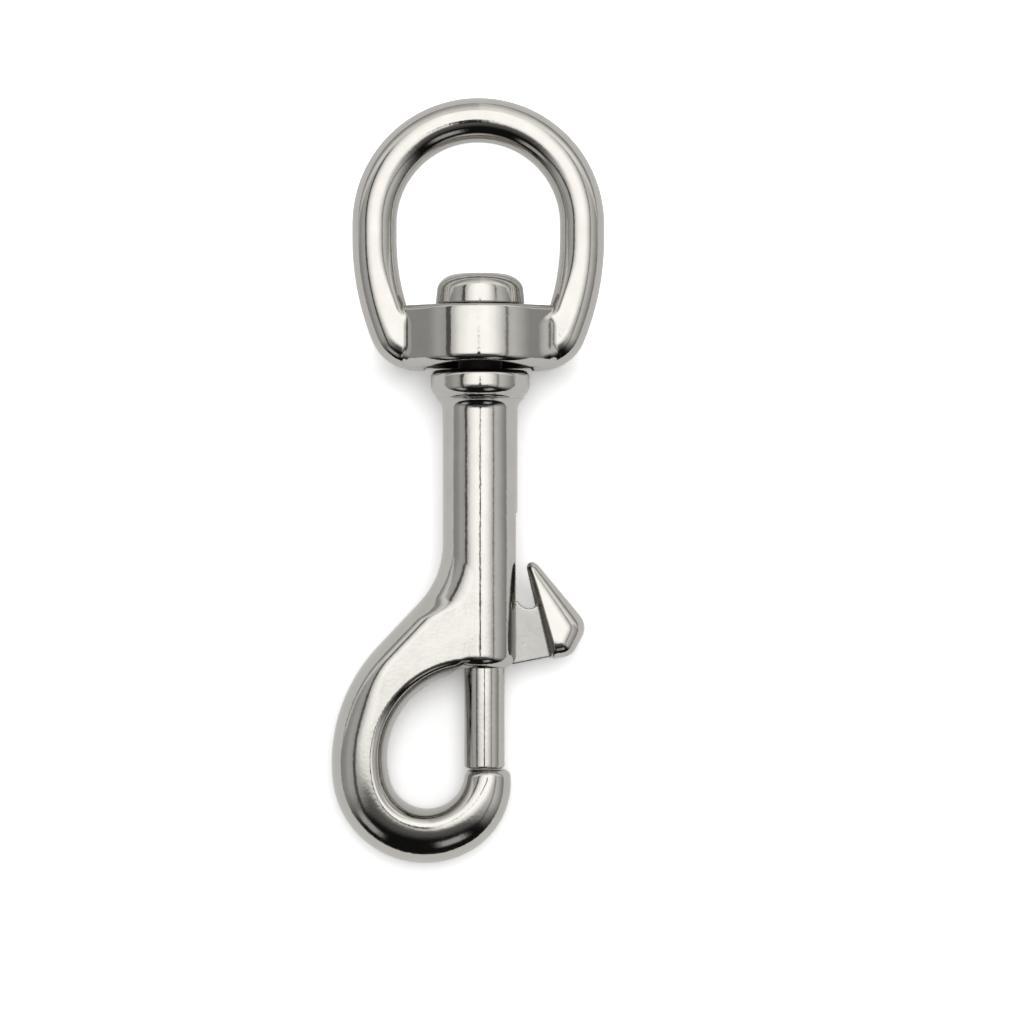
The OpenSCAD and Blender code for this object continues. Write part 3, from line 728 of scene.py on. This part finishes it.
# ---- studio that the steel mirrors -------------------------------------------
# light from left (-) to right, by angle from straight up, and where the panel and its dark gaps lie
ACROSS = ((-90, -74, -60, -48, -46, -36, -26, -12, 12, 22, 30, 40, 44, 52, 64, 76, 90),
          (0.42, 0.47, 0.66, 0.6, 0.7, 0.95, 1.6, 1.95, 2.0, 1.75, 1.35, 0.75, 0.85, 0.9, 0.72, 0.5, 0.34))
PANEL_SIDES, PANEL_BACK, PANEL_FRONT = (-39, 40), (44, 51), (6, 15)
PANEL_FALL, PANEL_FALL_AT = 0.25, (1, 8)
LEFT_GAP, RIGHT_GAP, GAP_SOFT = (-47, -38), (40, 44), 0.7
# most that the walls give, left and right, and the pale back wall between its rise and fall
LEFT_WALL, RIGHT_WALL = 0.66, 0.9
BACK_WALL, BACK_RISE, BACK_FALL = 0.5, (35, 50), (55, 80)
# the dark studio: where it starts, to the side and forward, and its level in two falls
DARK_SIDE, DARK_FRONT = (18, 48), (7, 13)
DARK_LEVEL, DARK_FALLS = 0.26, ((0.12, (12, 22)), (0.13, (22, 40)))
# two small lamps in it: azimuth and angle from straight up
LAMPS, LAMP_LEVEL, LAMP_SOFT = (((-142, -122), (56, 72)), ((-78, -58), (47, 64))), 0.55, (6, 4)
DOME_R, DOME_TURNS, DOME_ROWS = 1500.0, 480, 180
# the camera stand's ends along Y and its half widths there
CAMERA_STAND = (0.0, -120.0, 11.0, 22.0)


def band(t, start, end, soft):
    return smooth_step(t, start - soft, start + soft) * (1 - smooth_step(t, end - soft, end + soft))


def studio(x, y, z):
    """Light that the steel sees from direction (x, y, z): a soft panel overhead, grey side walls,
    a pale back wall towards +Y and a dark studio behind the camera stand towards -Y."""
    z = np.maximum(z, 1e-3)
    side, back, front = (np.degrees(np.arctan2(t, z)) for t in (x, y, -y))
    across = np.interp(side, *ACROSS)
    on_panel = (band(side, *PANEL_SIDES, 0.8) * (1 - smooth_step(back, *PANEL_BACK))
                * (1 - smooth_step(front, *PANEL_FRONT)))
    panel = across * (1 - PANEL_FALL * smooth_step(front, *PANEL_FALL_AT))
    level = np.where(side < 0, np.minimum(across, LEFT_WALL), np.minimum(across, RIGHT_WALL))
    level = level + BACK_WALL * smooth_step(back, *BACK_RISE) * (1 - smooth_step(back, *BACK_FALL))
    gap = np.maximum(band(side, *LEFT_GAP, GAP_SOFT), 0.75 * band(side, *RIGHT_GAP, GAP_SOFT))
    level = level * (1 - 0.8 * gap * (1 - smooth_step(back, *BACK_RISE)))
    # towards the camera stand
    around = np.degrees(np.arctan2(-y, np.abs(x)))
    dark = smooth_step(around, *DARK_SIDE) * smooth_step(front, *DARK_FRONT)
    deep = DARK_LEVEL
    for fall, stretch in DARK_FALLS:
        deep = deep - fall * smooth_step(front, *stretch)
    level = level * (1 - dark) + deep * dark
    azimuth, polar = np.degrees(np.arctan2(y, x)), np.degrees(np.arccos(z))
    for turn, height in LAMPS:
        level += LAMP_LEVEL * band(azimuth, *turn, LAMP_SOFT[0]) * band(polar, *height, LAMP_SOFT[1])
    return level * (1 - on_panel) + panel * on_panel


def seen_in_mirrors(obj, mat):
    """Stage obj so that only the steel's reflections show it."""
    obj.data.materials.append(mat)
    obj.visible_camera = obj.visible_diffuse = obj.visible_shadow = False


def dome():
    """Half sphere round the part that only mirror rays see, glowing as studio() says."""
    turns, rows = DOME_TURNS, DOME_ROWS
    a = np.arange(turns) / turns * 2 * math.pi
    e = np.radians(np.linspace(0, 90, rows + 1))[:-1, None]
    ring = np.stack([np.cos(e) * np.cos(a), np.cos(e) * np.sin(a), np.sin(e) + 0 * a], -1).reshape(-1, 3)
    points = np.concatenate([ring, [[0, 0, 1]]])
    i, j = np.meshgrid(np.arange(rows - 1) * turns, np.arange(turns), indexing="ij")
    k = (j + 1) % turns
    faces = np.stack([i + j, i + k, i + turns + k, i + turns + j], -1).reshape(-1, 4).tolist()
    last = (rows - 1) * turns
    faces += [[last + n, last + (n + 1) % turns, len(ring)] for n in range(turns)]
    obj = add_mesh("studio_dome", points * DOME_R + [0, MIDDLE, floor_height(MIDDLE)], faces)
    level = obj.data.attributes.new("level", "FLOAT", "POINT")
    level.data.foreach_set("value", studio(*points.T).astype(np.float32))
    mat, nodes, links = new_material("studio_dome")
    out = nodes.new("ShaderNodeOutputMaterial")
    glow = nodes.new("ShaderNodeEmission")
    read = nodes.new("ShaderNodeAttribute")
    read.attribute_name = "level"
    links.new(read.outputs["Fac"], glow.inputs["Strength"])
    links.new(glow.outputs[0], out.inputs[0])
    seen_in_mirrors(obj, mat)


def camera_stand():
    """Dark camera and its arm, which show as a thin line along each crest."""
    top, low, narrow, wide = CAMERA_STAND
    x, z = CAMERA_AT[0], CAMERA_AT[2] + 3
    rim = [(x - narrow, top, z), (x + narrow, top, z), (x + wide, low, z), (x - wide, low, z)]
    obj = add_mesh("camera_stand", rim, [range(4)])
    mat, nodes, links = new_material("camera_stand")
    out = nodes.new("ShaderNodeOutputMaterial")
    black = nodes.new("ShaderNodeBsdfDiffuse")
    black.inputs["Color"].default_value = (0.02, 0.02, 0.02, 1)
    links.new(black.outputs[0], out.inputs[0])
    seen_in_mirrors(obj, mat)


dome()
camera_stand()

world = bpy.data.worlds.new("studio")
bpy.context.scene.world = world
world.use_nodes = True
backdrop = world.node_tree.nodes["Background"]
backdrop.inputs["Color"].default_value = (1, 1, 1, 1)
backdrop.inputs["Strength"].default_value = BACKDROP


def soft_sun(name, strength, lean, turn, spread):
    """Broad light for the floor's shadows: lean from the vertical, turn about it, spread of its disc."""
    lamp = bpy.data.lights.new(name, "SUN")
    lamp.energy = strength
    lamp.angle = math.radians(spread)
    obj = bpy.data.objects.new(name, lamp)
    obj.rotation_euler = (-math.radians(lean), 0, math.radians(turn))
    obj.visible_glossy = False
    bpy.context.scene.collection.objects.link(obj)


soft_sun("window", strength=1.2, lean=15, turn=-15, spread=40)

# ---- camera ------------------------------------------------------------------
camera_data = bpy.data.cameras.new("camera")
camera_data.lens = camera_data.sensor_width * CAMERA_AT[2] / VIEW_WIDTH
camera_data.clip_start, camera_data.clip_end = 0.01, 20.0
camera = bpy.data.objects.new("camera", camera_data)
camera.location = [c * MM for c in CAMERA_AT]
bpy.context.scene.collection.objects.link(camera)
bpy.context.scene.camera = camera
bpy.context.scene.view_settings.view_transform = "Standard"
